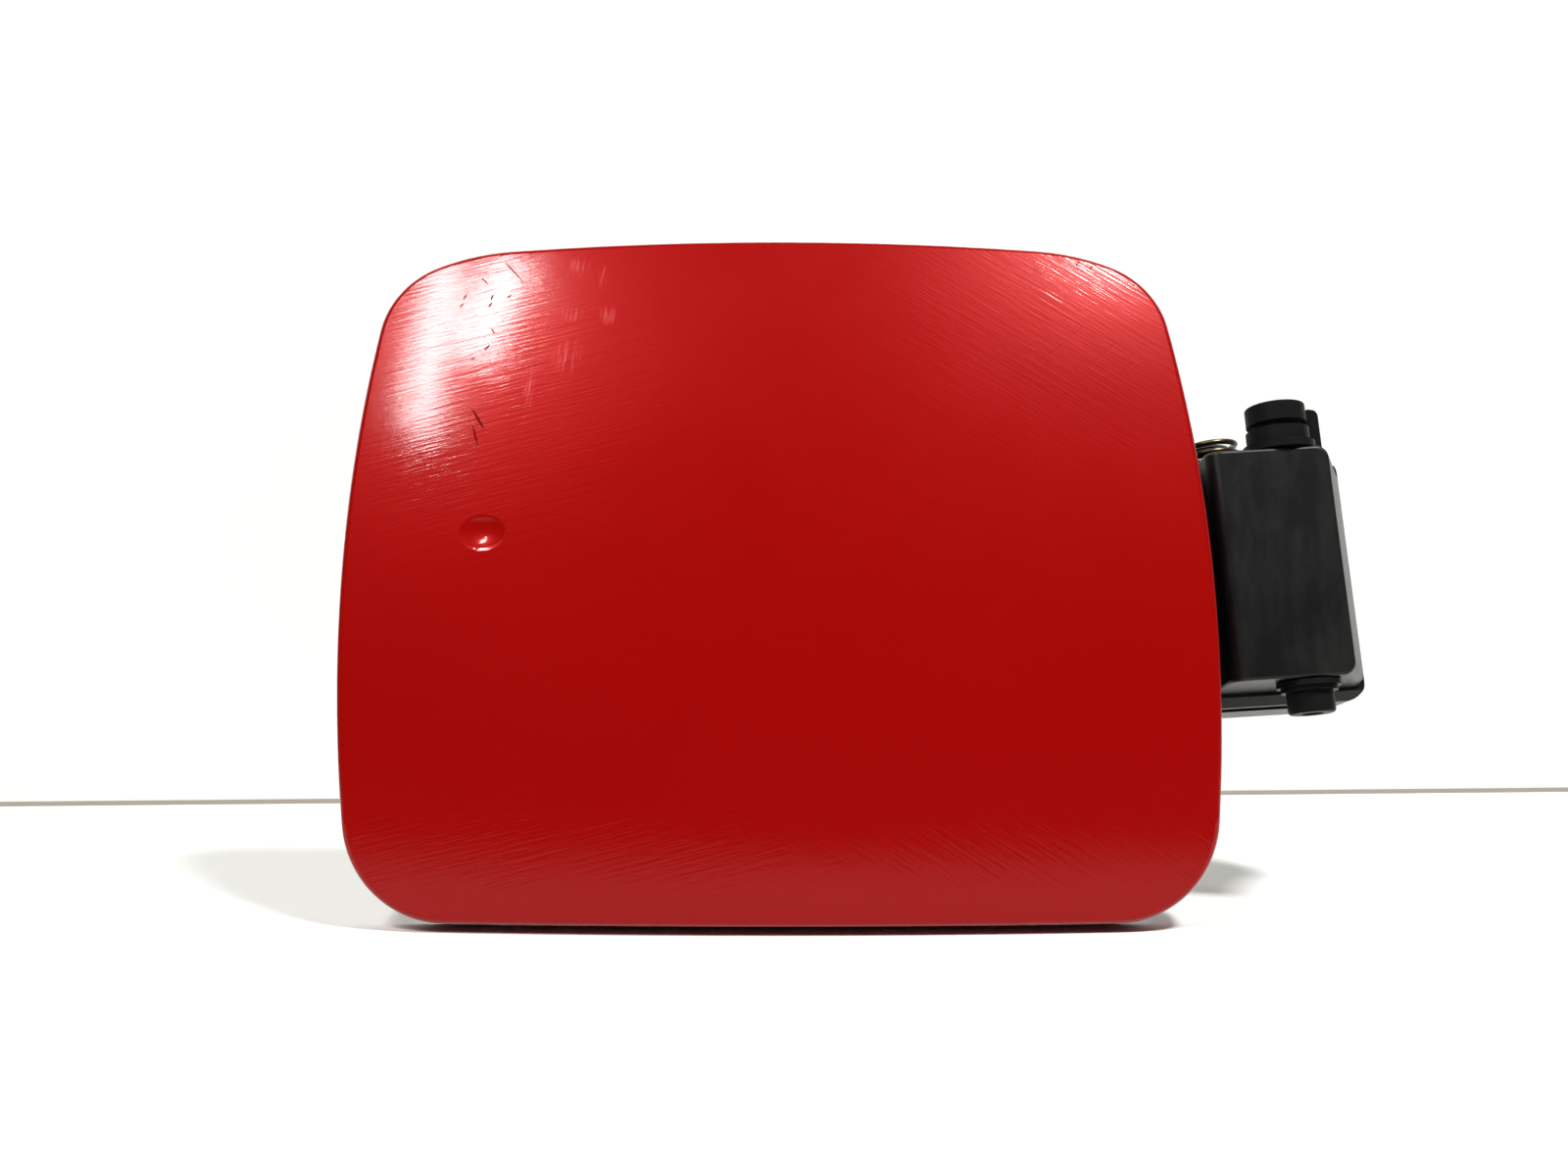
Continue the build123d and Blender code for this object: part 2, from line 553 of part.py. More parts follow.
def make_upper_bush():
    """Bush with a sleeve in the barrel, a collar, a groove, a cap and a lug."""
    bore = PIN_RADIUS + PIN_CLEARANCE
    base_top = COLLAR_LOW + COLLAR_BASE_THICKNESS
    bush = turned([
        (bore, BARREL_TOP - SLEEVE_LENGTH),
        (SLEEVE_RADIUS, BARREL_TOP - SLEEVE_LENGTH),
        (SLEEVE_RADIUS, COLLAR_LOW),
        (COLLAR_BASE_RADIUS, COLLAR_LOW),
        (COLLAR_BASE_RADIUS, base_top),
        (COLLAR_RADIUS, base_top),
        (COLLAR_RADIUS, GROOVE_LOW),
        (GROOVE_RADIUS, GROOVE_LOW),
        (GROOVE_RADIUS, CAP_LOW),
        (CAP_RADIUS, CAP_LOW),
        (CAP_RADIUS, CAP_TOP),
        (bore, CAP_TOP),
    ])
    cap_edges = bush.edges().filter_by(GeomType.CIRCLE).group_by(Axis.Z)[-1].sort_by(SortBy.RADIUS)
    bush = fillet(cap_edges[-1], CAP_EDGE_RADIUS)
    lug_low = COLLAR_LOW + COLLAR_BASE_THICKNESS / 2
    lug_top = CAP_LOW + LUG_CAP_OVERLAP
    foot_length = LUG_REACH - COLLAR_RADIUS / 2
    tab_length = LUG_REACH - CAP_RADIUS - LUG_CLEARANCE
    foot = Pos(LUG_REACH - foot_length / 2, 0, (lug_low + GROOVE_LOW) / 2)
    foot *= Box(foot_length, LUG_WIDTH, GROOVE_LOW - lug_low)
    foot -= Pos(0, 0, lug_low) * Cylinder(GROOVE_RADIUS, 2 * COLLAR_HEIGHT)
    tab = Pos(LUG_REACH - tab_length / 2, 0, (lug_low + lug_top) / 2)
    tab *= Box(tab_length, LUG_WIDTH, lug_top - lug_low)
    tab = fillet(tab.edges().filter_by(Axis.Y).group_by(Axis.Z)[-1], tab_length / 3)
    bush += Rot(Z=LUG_ANGLE) * (foot + tab)
    return ARM_PLACE * bush


def make_lower_bush():
    """Bush with a sleeve in the barrel, a stepped flange and the journal below it."""
    bore = PIN_RADIUS + PIN_CLEARANCE
    bush = turned([
        (bore, -JOURNAL_LENGTH / 2),
        (JOURNAL_RADIUS, -JOURNAL_LENGTH / 2),
        (JOURNAL_RADIUS, JOURNAL_TOP),
        (STEP_RADIUS, JOURNAL_TOP),
        (STEP_RADIUS, JOURNAL_TOP + STEP_THICKNESS),
        (FLANGE_RADIUS, JOURNAL_TOP + STEP_THICKNESS),
        (FLANGE_RADIUS, FLANGE_TOP),
        (SLEEVE_RADIUS, FLANGE_TOP),
        (SLEEVE_RADIUS, BARREL_LOW + SLEEVE_LENGTH),
        (bore, BARREL_LOW + SLEEVE_LENGTH),
    ])
    end_edges = bush.edges().filter_by(GeomType.CIRCLE).group_by(Axis.Z)[0].sort_by(SortBy.RADIUS)
    return ARM_PLACE * fillet(end_edges[-1], JOURNAL_END_RADIUS)


def make_pivot_pin():
    """Steel pin that joins the two bushes through the barrel."""
    low = -JOURNAL_LENGTH / 2 + PIN_RECESS
    high = CAP_TOP - PIN_RECESS
    return ARM_PLACE * Pos(0, 0, (low + high) / 2) * Cylinder(PIN_RADIUS, high - low)


def make_arm_studs():
    """Weld studs: flat heads behind the field, shanks through the foot and the nuts."""
    studs = []
    for x, z in stud_places():
        tip = foot_level() + NUT_HEIGHT + STUD_PROUD
        head_front = crown_depth(x, z, FIELD_FRONT) - STUD_HEAD_THICKNESS
        head = inward_cylinder(STUD_HEAD_RADIUS, x, z, head_front, 2 * STUD_HEAD_THICKNESS)
        head &= crown_layer(0, FIELD_FRONT - HEM_CLEARANCE)
        shank = inward_cylinder(STUD_RADIUS, x, z, head_front, tip - head_front)
        shank = chamfer(shank.edges().group_by(Axis.Y)[-1], STUD_CLEARANCE)
        studs.append(head + shank)
    return Compound(studs)


def make_arm_nuts():
    """Hexagon flange nuts on the foot."""
    nuts = []
    for x, z in stud_places():
        hexagon = RegularPolygon(NUT_ACROSS_FLATS / 2, 6, major_radius=False)
        nut = extrude(hexagon, NUT_HEIGHT)
        nut += extrude(Circle(NUT_FLANGE_RADIUS), NUT_FLANGE_THICKNESS)
        nut -= Cylinder(STUD_RADIUS + NUT_CLEARANCE, 2 * NUT_HEIGHT + LAYER_MARGIN)
        nuts.append(Pos(x, foot_level(), z) * Rot(X=-90) * nut)
    return Compound(nuts)


def field_seat(piece):
    """The piece with its base cut to the crowned field of the inner panel."""
    return piece - crown_layer(-LAYER_MARGIN, FIELD_BACK + PAD_CLEARANCE)


def make_latch_striker():
    """Moulded tongue with an eye for the lock's plunger, on a base plate."""
    back = crown_depth(STRIKER_X, STRIKER_Z, FIELD_BACK) + STRIKER_BASE_THICKNESS
    plate = Plane.XZ * RectangleRounded(STRIKER_BASE_WIDTH, STRIKER_BASE_LENGTH, STRIKER_CORNER)
    base = Pos(STRIKER_X, 0, STRIKER_Z) * extrude(plate, back, dir=INWARDS)
    tip = back + TONGUE_LENGTH
    side = Rectangle(tip, TONGUE_WIDTH)
    side = fillet(side.vertices().group_by(Axis.X)[-1], STRIKER_CORNER)
    tongue = Pos(STRIKER_X - TONGUE_THICKNESS / 2, tip / 2, STRIKER_Z) * (Plane.YZ * side)
    tongue = extrude(tongue, TONGUE_THICKNESS, dir=(1, 0, 0))
    eye = Pos(STRIKER_X - STRIKER_BASE_WIDTH, tip - EYE_END_WALL - EYE_SIZE / 2, STRIKER_Z)
    eye *= Plane.YZ * RectangleRounded(EYE_SIZE, EYE_SIZE, EYE_CORNER)
    striker = base + tongue - extrude(eye, 2 * STRIKER_BASE_WIDTH, dir=(1, 0, 0))
    for end in (-1, 1):
        z = STRIKER_Z + end * RIVET_SPACING / 2
        striker -= inward_cylinder(RIVET_RADIUS + RIVET_CLEARANCE, STRIKER_X, z, 0, tip)
    return field_seat(striker)


def make_striker_rivets():
    """Two rivets through the striker's base and the field."""
    rivets = []
    level = crown_depth(STRIKER_X, STRIKER_Z, FIELD_BACK) + STRIKER_BASE_THICKNESS
    for end in (-1, 1):
        z = STRIKER_Z + end * RIVET_SPACING / 2
        front = crown_depth(STRIKER_X, z, FIELD_FRONT) - RIVET_TAIL_THICKNESS
        rivet = inward_cylinder(RIVET_RADIUS, STRIKER_X, z, front, level - front + RIVET_HEAD_HEIGHT / 2)
        head = inward_cylinder(RIVET_HEAD_RADIUS, STRIKER_X, z, level, RIVET_HEAD_HEIGHT)
        head = fillet(head.edges().group_by(Axis.Y)[-1], RIVET_HEAD_HEIGHT / 2)
        tail = inward_cylinder(RIVET_HEAD_RADIUS, STRIKER_X, z, front, 2 * RIVET_TAIL_THICKNESS)
        tail &= crown_layer(0, FIELD_FRONT - HEM_CLEARANCE)
        rivets.append(rivet + head + tail)
    return Compound(rivets)


def make_buffer(z):
    """Rubber stop with a barbed stem in the inner panel."""
    seat = crown_depth(BUFFER_X, z, FIELD_BACK)
    front = crown_depth(BUFFER_X, z, FIELD_FRONT)
    body = inward_cylinder(BUFFER_RADIUS, BUFFER_X, z, front, seat - front + BUFFER_HEIGHT)
    body = fillet(body.edges().group_by(Axis.Y)[-1], BUFFER_DOME)
    body = field_seat(body)
    barb_front = front - BUFFER_BARB_THICKNESS
    barb = inward_cylinder(BUFFER_BARB_RADIUS, BUFFER_X, z, barb_front, 2 * BUFFER_BARB_THICKNESS)
    barb &= crown_layer(0, FIELD_FRONT - HEM_CLEARANCE)
    stem = inward_cylinder(BUFFER_STEM_RADIUS, BUFFER_X, z, barb_front, seat - barb_front + BUFFER_DOME)
    return body + barb + stem


def make_cap_holder():
    """Moulded fork with lipped prongs, pegged to the inner panel."""
    back = crown_depth(HOLDER_X, HOLDER_Z, FIELD_BACK) + HOLDER_BASE_THICKNESS
    plate = Plane.XZ * RectangleRounded(HOLDER_BASE_LENGTH, HOLDER_BASE_WIDTH, HOLDER_CORNER)
    holder = Pos(HOLDER_X, 0, HOLDER_Z) * extrude(plate, back, dir=INWARDS)
    inner = FORK_GAP / 2
    outer = inner + FORK_THICKNESS
    tip = back + FORK_HEIGHT
    lip = inner - FORK_LIP
    lip_low = tip - FORK_LIP_HEIGHT
    lip_root = (inner, lip_low - FORK_LIP)
    prong = make_face(Polyline(
        (inner, 0), (outer, 0), (outer, tip), (inner, tip), (lip, lip_low), lip_root, close=True))
    width = HOLDER_BASE_WIDTH - HOLDER_CORNER
    for turn in (0, 180):
        side = prong if turn == 0 else mirror(prong, Plane.YZ)
        holder += Pos(HOLDER_X, 0, HOLDER_Z - width / 2) * extrude(side, width, dir=(0, 0, 1))
    holder = field_seat(holder)
    for end in (-1, 1):
        x = HOLDER_X + end * PEG_SPACING / 2
        front = crown_depth(x, HOLDER_Z, FIELD_FRONT) - PEG_LENGTH
        holder += inward_cylinder(PEG_RADIUS, x, HOLDER_Z, front, back - front)
    return holder


def make_bond_pads():
    """Soft pads that fill the gap between the skin and the field."""
    gap = crown_layer(SKIN_THICKNESS + PAD_CLEARANCE, FIELD_FRONT - PAD_CLEARANCE)
    depth = SKIRT_DEPTH + LAYER_MARGIN
    return Compound([inward_cylinder(PAD_RADIUS, x, z, 0, depth) & gap for x, z in PAD_PLACES])


os.makedirs("parts", exist_ok=True)
pieces = {
    "outer_skin": make_outer_skin(),
    "inner_panel": make_inner_panel(),
    "hinge_arm": make_hinge_arm(),
    "toggle_spring": make_toggle_spring(),
    "upper_bush": make_upper_bush(),
    "lower_bush": make_lower_bush(),
    "pivot_pin": make_pivot_pin(),
    "arm_studs": make_arm_studs(),
    "arm_nuts": make_arm_nuts(),
    "latch_striker": make_latch_striker(),
    "striker_rivets": make_striker_rivets(),
    "upper_buffer": make_buffer(UPPER_BUFFER_Z),
    "lower_buffer": make_buffer(LOWER_BUFFER_Z),
    "cap_holder": make_cap_holder(),
    "bond_pads": make_bond_pads(),
}
for name, piece in pieces.items():
    export_step(ROW_PLACE * piece, f"parts/{name}.step")
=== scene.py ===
import bpy
import bmesh
from math import radians, sin, cos
from mathutils import Matrix, Vector


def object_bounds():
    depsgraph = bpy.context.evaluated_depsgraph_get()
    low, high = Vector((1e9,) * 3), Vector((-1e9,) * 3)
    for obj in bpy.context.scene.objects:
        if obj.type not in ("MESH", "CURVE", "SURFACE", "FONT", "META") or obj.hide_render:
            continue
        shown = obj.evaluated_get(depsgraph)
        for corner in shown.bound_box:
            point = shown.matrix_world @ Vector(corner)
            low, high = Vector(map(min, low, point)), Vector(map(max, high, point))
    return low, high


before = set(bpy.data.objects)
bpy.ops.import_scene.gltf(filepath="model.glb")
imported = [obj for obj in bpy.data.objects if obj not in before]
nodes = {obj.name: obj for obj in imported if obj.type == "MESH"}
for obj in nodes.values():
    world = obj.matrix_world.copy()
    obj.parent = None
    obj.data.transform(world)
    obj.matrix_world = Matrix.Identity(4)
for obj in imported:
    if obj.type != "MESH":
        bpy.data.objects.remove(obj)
cad_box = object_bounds()

# Outer skin: the crowned face of the flap, pressed from 0.8 mm steel sheet and sprayed with a solid red
# enamel under clear lacquer. It shows years of washing: hazy swirls, rubs and a few dark nicks at the top.
MM = 0.001


def linear(hex_colour):
    """Linear RGBA of an sRGB hex colour."""
    channels = [int(hex_colour[i:i + 2], 16) / 255 for i in (1, 3, 5)]
    return [c / 12.92 if c <= 0.04045 else ((c + 0.055) / 1.055) ** 2.4 for c in channels] + [1.0]


def add(tree, kind, inputs, **settings):
    """Adds a node with its settings; an input is a value, or the socket that feeds it."""
    node = tree.nodes.new(kind)
    for name, value in settings.items():
        setattr(node, name, value)
    for name, value in inputs.items():
        if isinstance(value, bpy.types.NodeSocket):
            tree.links.new(value, node.inputs[name])
        else:
            node.inputs[name].default_value = value
    return node


def new_material(name, constants):
    """Node material, its tree, shader and Object coordinates; the constants go on the shader's sockets."""
    material = bpy.data.materials.new(name)
    material.use_nodes = True
    tree = material.node_tree
    shader = tree.nodes["Principled BSDF"]
    for socket, value in constants.items():
        shader.inputs[socket].default_value = value
    place = add(tree, "ShaderNodeTexCoord", {}).outputs["Object"]
    return material, tree, shader, place


def dress(material, *names):
    """Gives CAD nodes a material."""
    for name in names:
        slots = nodes[name].data.materials
        slots.clear()
        slots.append(material)


# Solid red enamel under lacquer: saturated red with a hard gloss, so it mirrors lamps and the pale table.
# Wash swirls widen the gloss to a pink haze, and scratches break the mirror image.
ENAMEL_RED = "#800403"
PEARL_RED = "#FF3A34"
enamel, tree, shader, place = new_material("red_enamel_under_lacquer", {
    "IOR": 1.5,
    "Specular IOR Level": 0.37,
    "Specular Tint": linear(PEARL_RED),
    "Coat IOR": 1.24,
    "Coat Roughness": 0.10,
})

# Wash swirls: hairlines that rise to the right on the left half and fall on the right half, drawn wider than
# real ones so that they show. Sizes in mm, turns in degrees.
SWIRL_WIDTH = 0.6
SWIRL_LENGTH = 13.0
SWIRL_TURNS = (14, -32)
LEFT_HALF_END = -140
RIGHT_HALF_START = -90
across = add(tree, "ShaderNodeSeparateXYZ", {"Vector": place}).outputs["X"]
half = add(tree, "ShaderNodeMapRange", {
    "Value": across, "From Min": LEFT_HALF_END * MM, "From Max": RIGHT_HALF_START * MM}).outputs[0]
hairs = []
for turn in SWIRL_TURNS:
    lay = add(tree, "ShaderNodeMapping", {
        "Vector": place,
        "Rotation": (0, radians(-turn), 0),
        "Scale": (SWIRL_LENGTH * MM, SWIRL_LENGTH * MM, SWIRL_WIDTH * MM),
    }, vector_type="TEXTURE").outputs[0]
    hair = add(tree, "ShaderNodeTexNoise", {"Vector": lay, "Scale": 1.0, "Detail": 2.0, "Roughness": 0.6})
    hairs.append(hair.outputs["Fac"])
swirls = add(tree, "ShaderNodeMix", {"Factor": half, 2: hairs[0], 3: hairs[1]}).outputs[0]

# Marks lie on the face alone, not on the skirt and the hem behind it
SKIRT_NORMAL_Y = -0.3
FACE_NORMAL_Y = -0.7
normal = add(tree, "ShaderNodeTexCoord", {}).outputs["Normal"]
normal_y = add(tree, "ShaderNodeSeparateXYZ", {"Vector": normal}).outputs["Y"]
front = add(tree, "ShaderNodeMapRange", {
    "Value": normal_y, "From Min": SKIRT_NORMAL_Y, "From Max": FACE_NORMAL_Y}).outputs[0]
ONTO_FACE = (1, 0, 1)

# Dark scratches and nicks at the top corners: place, length and width in mm, turn in degrees, depth of tone
SCRATCH_MAROON = "#3A0606"
SCRATCH_RIM = 0.05
SCRATCH_CORE = 0.6
scratches = [
    (-181.7, 98.5, 7.7, 0.36, -47, 0.75), (-188.3, 96.3, 2.8, 0.36, -45, 0.75),
    (-187.7, 63.5, 7.9, 0.7, -58, 0.8), (-188.2, 59.8, 6.8, 0.6, -75, 0.75),
    (-192.6, 92.4, 1.8, 0.5, 60, 0.65), (-193.2, 90.4, 1.5, 0.5, 48, 0.65),
    (-186.3, 92.2, 1.6, 0.5, 70, 0.75), (-186.6, 90.4, 1.5, 0.5, 60, 0.75),
    (-182.3, 92.4, 1.5, 0.5, 30, 0.75), (-185.6, 84.1, 1.7, 0.4, -60, 0.75),
    (-186.7, 80.2, 2.0, 0.5, 42, 0.8), (-189.7, 77.6, 1.3, 0.4, 28, 0.65),
    (-53.9, 84.1, 6.0, 0.5, 44, 0.16), (-59.2, 79.5, 7.4, 0.6, 37, 0.2),
    (-64.0, 76.0, 4.6, 0.5, 29, 0.16), (-46.0, 80.5, 5.4, 0.5, 46, 0.16),
    (-49.8, 77.4, 4.6, 0.5, 30, 0.14), (-52.6, 100.6, 2.2, 0.4, 58, 0.65),
    (-49.6, 99.6, 1.6, 0.4, 40, 0.65), (-39.9, 95.4, 1.8, 0.4, -30, 0.65),
]
dark = 0.0
for x, z, length, width, turn, depth in scratches:
    lay = add(tree, "ShaderNodeMapping", {
        "Vector": place,
        "Location": (x * MM, 0, z * MM),
        "Rotation": (0, radians(-turn), 0),
        "Scale": (length / 2 * MM, 1, width / 2 * MM),
    }, vector_type="TEXTURE").outputs[0]
    flat = add(tree, "ShaderNodeVectorMath", {0: lay, 1: ONTO_FACE}, operation="MULTIPLY").outputs[0]
    line = add(tree, "ShaderNodeTexGradient", {"Vector": flat}, gradient_type="SPHERICAL").outputs["Fac"]
    line = add(tree, "ShaderNodeMapRange", {
        "Value": line, "From Min": SCRATCH_RIM, "From Max": SCRATCH_CORE, "To Max": depth}).outputs[0]
    dark = add(tree, "ShaderNodeMath", {0: dark, 1: line}, operation="MAXIMUM").outputs[0]
dark = add(tree, "ShaderNodeMath", {0: dark, 1: front}, operation="MULTIPLY").outputs[0]

# Upright rubs right of the left highlight: pale streaks inside a few patches, whose place, width and height
# are in mm
RUB_PINK = "#9A3A3C"
RUB_CORE = 0.8
STREAK_WIDTH = 0.32
STREAK_LENGTH = 5.0
STREAK_REACH = 9.0
STREAK_TURN = 6
STREAK_EDGE = 0.5
STREAK_MIDDLE = 0.64
rub_patches = [
    (-176.9, 99.6, 6.0, 5.0), (-167.0, 99.4, 7.0, 5.6), (-161.2, 97.0, 2.2, 8.0), (-167.8, 88.0, 6.0, 4.6),
    (-159.6, 87.6, 4.6, 5.4), (-168.5, 77.8, 8.4, 10.0), (-176.8, 70.6, 3.4, 11.5),
]
patch = 0.0
for x, z, width, height in rub_patches:
    lay = add(tree, "ShaderNodeMapping", {
        "Vector": place,
        "Location": (x * MM, 0, z * MM),
        "Scale": (width / 2 * MM, 1, height / 2 * MM),
    }, vector_type="TEXTURE").outputs[0]
    flat = add(tree, "ShaderNodeVectorMath", {0: lay, 1: ONTO_FACE}, operation="MULTIPLY").outputs[0]
    spot = add(tree, "ShaderNodeTexGradient", {"Vector": flat}, gradient_type="SPHERICAL").outputs["Fac"]
    patch = add(tree, "ShaderNodeMath", {0: patch, 1: spot}, operation="MAXIMUM").outputs[0]
patch = add(tree, "ShaderNodeMapRange", {"Value": patch, "From Max": RUB_CORE}).outputs[0]
patch = add(tree, "ShaderNodeMath", {0: patch, 1: front}, operation="MULTIPLY").outputs[0]
lay = add(tree, "ShaderNodeMapping", {
    "Vector": place,
    "Rotation": (0, radians(STREAK_TURN), 0),
    "Scale": (STREAK_WIDTH * MM, STREAK_REACH * MM, STREAK_LENGTH * MM),
}, vector_type="TEXTURE").outputs[0]
streak = add(tree, "ShaderNodeTexNoise", {"Vector": lay, "Scale": 1.0, "Detail": 1.0}).outputs["Fac"]
streak = add(tree, "ShaderNodeMapRange", {
    "Value": streak, "From Min": STREAK_EDGE, "From Max": STREAK_MIDDLE}).outputs[0]
rubs = add(tree, "ShaderNodeMath", {0: patch, 1: streak}, operation="MULTIPLY").outputs[0]

# Colour: even red, pale along the rubs and dark in the scratches
worn = add(tree, "ShaderNodeMix", {
    "Factor": rubs, 6: linear(ENAMEL_RED), 7: linear(RUB_PINK)}, data_type="RGBA").outputs[2]
worn = add(tree, "ShaderNodeMix", {
    "Factor": dark, 6: worn, 7: linear(SCRATCH_MAROON)}, data_type="RGBA").outputs[2]
tree.links.new(worn, shader.inputs["Base Color"])

# Gloss: smudges between wiped and hazy lacquer, and no lacquer in the scratches
SMUDGE_SIZE = 38.0
SMUDGE_EDGE = 0.3
SMUDGE_MIDDLE = 0.7
WIPED_ROUGHNESS = 0.29
HAZY_ROUGHNESS = 0.37
SCRATCH_ROUGHNESS = 0.6
smudge = add(tree, "ShaderNodeTexNoise", {
    "Vector": place, "Scale": 1 / (SMUDGE_SIZE * MM), "Detail": 3.0, "Roughness": 0.55}).outputs["Fac"]
haze = add(tree, "ShaderNodeMapRange", {
    "Value": smudge, "From Min": SMUDGE_EDGE, "From Max": SMUDGE_MIDDLE,
    "To Min": WIPED_ROUGHNESS, "To Max": HAZY_ROUGHNESS}).outputs[0]
dull = add(tree, "ShaderNodeMath", {
    0: dark, 1: SCRATCH_ROUGHNESS, 2: haze}, operation="MULTIPLY_ADD").outputs[0]
tree.links.new(dull, shader.inputs["Roughness"])
whole = add(tree, "ShaderNodeMath", {0: 1.0, 1: dark}, operation="SUBTRACT").outputs[0]
tree.links.new(whole, shader.inputs["Coat Weight"])

# Relief: the faint orange peel of sprayed lacquer, hairlines and scratches, with depths in mm
PEEL_SIZE = 1.6
PEEL_DEPTH = 0.008
SWIRL_DEPTH = 0.036
SCRATCH_DEPTH = 0.03
peel = add(tree, "ShaderNodeTexNoise", {
    "Vector": place, "Scale": 1 / (PEEL_SIZE * MM), "Detail": 1.0}).outputs["Fac"]
bump = add(tree, "ShaderNodeBump", {
    "Height": peel, "Strength": 0.5, "Distance": PEEL_DEPTH * MM}).outputs[0]
bump = add(tree, "ShaderNodeBump", {
    "Height": swirls, "Strength": 0.8, "Distance": SWIRL_DEPTH * MM, "Normal": bump}).outputs[0]
bump = add(tree, "ShaderNodeBump", {
    "Height": dark, "Strength": 1.0, "Distance": SCRATCH_DEPTH * MM, "Normal": bump}, invert=True).outputs[0]
tree.links.new(bump, shader.inputs["Normal"])
tree.links.new(bump, shader.inputs["Coat Normal"])
dress(enamel, "outer_skin")

# Inner panel: pressed steel dish that is crimped into the hem of the skin. It is sprayed with the same red,
# but thinly and without polish, so it is duller than the face, and dust settles on it.
DULL_RED = "#640604"
DUSTY_RED = "#52100D"
DUST_SIZE = 22.0
DUST_EDGE = 0.45
DUST_MIDDLE = 0.75
SPRAY_GRAIN = 1.2
SPRAY_DEPTH = 0.03
primed, tree, shader, place = new_material("thin_red_enamel_unpolished", {
    "Coat Weight": 0.35, "Coat Roughness": 0.3})
dust = add(tree, "ShaderNodeTexNoise", {
    "Vector": place, "Scale": 1 / (DUST_SIZE * MM), "Detail": 4.0, "Roughness": 0.6}).outputs["Fac"]
settled = add(tree, "ShaderNodeMapRange", {
    "Value": dust, "From Min": DUST_EDGE, "From Max": DUST_MIDDLE}).outputs[0]
tint = add(tree, "ShaderNodeMix", {
    "Factor": settled, 6: linear(DULL_RED), 7: linear(DUSTY_RED)}, data_type="RGBA").outputs[2]
tree.links.new(tint, shader.inputs["Base Color"])
rough = add(tree, "ShaderNodeMapRange", {"Value": dust, "To Min": 0.35, "To Max": 0.6}).outputs[0]
tree.links.new(rough, shader.inputs["Roughness"])
grain = add(tree, "ShaderNodeTexNoise", {
    "Vector": place, "Scale": 1 / (SPRAY_GRAIN * MM), "Detail": 2.0}).outputs["Fac"]
bump = add(tree, "ShaderNodeBump", {
    "Height": grain, "Strength": 0.5, "Distance": SPRAY_DEPTH * MM}).outputs[0]
tree.links.new(bump, shader.inputs["Normal"])
dress(primed, "inner_panel")

# Hinge arm, striker and cap holder: black glass-filled nylon mouldings. The arm's barrel, neck and foot are
# one shot; the striker is riveted and the holder pegged to the inner panel. The mould leaves a satin skin
# with faint flow marks, and dust greys it in use.
NYLON_BLACK = "#080808"
NYLON_DUSTY = "#191918"
FLOW_WIDTH = 9.0
FLOW_LENGTH = 34.0
GREYED_EDGE = 0.42
GREYED_MIDDLE = 0.72
FIBRE_SIZE = 0.6
FIBRE_DEPTH = 0.04
nylon, tree, shader, place = new_material("black_glass_filled_nylon", {
    "IOR": 1.53, "Specular IOR Level": 0.2})
flow = add(tree, "ShaderNodeMapping", {
    "Vector": place,
    "Scale": (1 / (FLOW_WIDTH * MM), 1 / (FLOW_WIDTH * MM), 1 / (FLOW_LENGTH * MM)),
}).outputs[0]
marks = add(tree, "ShaderNodeTexNoise", {
    "Vector": flow, "Scale": 1.0, "Detail": 5.0, "Roughness": 0.65}).outputs["Fac"]
greyed = add(tree, "ShaderNodeMapRange", {
    "Value": marks, "From Min": GREYED_EDGE, "From Max": GREYED_MIDDLE}).outputs[0]
tint = add(tree, "ShaderNodeMix", {
    "Factor": greyed, 6: linear(NYLON_BLACK), 7: linear(NYLON_DUSTY)}, data_type="RGBA").outputs[2]
tree.links.new(tint, shader.inputs["Base Color"])
rough = add(tree, "ShaderNodeMapRange", {"Value": marks, "To Min": 0.3, "To Max": 0.44}).outputs[0]
tree.links.new(rough, shader.inputs["Roughness"])
fibre = add(tree, "ShaderNodeTexNoise", {
    "Vector": place, "Scale": 1 / (FIBRE_SIZE * MM), "Detail": 2.0}).outputs["Fac"]
bump = add(tree, "ShaderNodeBump", {
    "Height": fibre, "Strength": 0.6, "Distance": FIBRE_DEPTH * MM}).outputs[0]
tree.links.new(bump, shader.inputs["Normal"])
dress(nylon, "hinge_arm", "latch_striker", "cap_holder")

# Pivot bushes: mouldings in self-lubricating black acetal, pushed into the ends of the barrel. They are
# smoother than the arm, with faint grey clouds of wear.
ACETAL_BLACK = "#111111"
ACETAL_WORN = "#181817"
WEAR_SIZE = 3.0
WEAR_DEPTH = 0.03
acetal, tree, shader, place = new_material("black_acetal", {"IOR": 1.48, "Specular IOR Level": 0.03})
wear = add(tree, "ShaderNodeTexNoise", {
    "Vector": place, "Scale": 1 / (WEAR_SIZE * MM), "Detail": 4.0}).outputs["Fac"]
tint = add(tree, "ShaderNodeMix", {
    "Factor": wear, 6: linear(ACETAL_BLACK), 7: linear(ACETAL_WORN)}, data_type="RGBA").outputs[2]
tree.links.new(tint, shader.inputs["Base Color"])
rough = add(tree, "ShaderNodeMapRange", {"Value": wear, "To Min": 0.29, "To Max": 0.42}).outputs[0]
tree.links.new(rough, shader.inputs["Roughness"])
bump = add(tree, "ShaderNodeBump", {
    "Height": wear, "Strength": 0.4, "Distance": WEAR_DEPTH * MM}).outputs[0]
tree.links.new(bump, shader.inputs["Normal"])
dress(acetal, "upper_bush", "lower_bush")

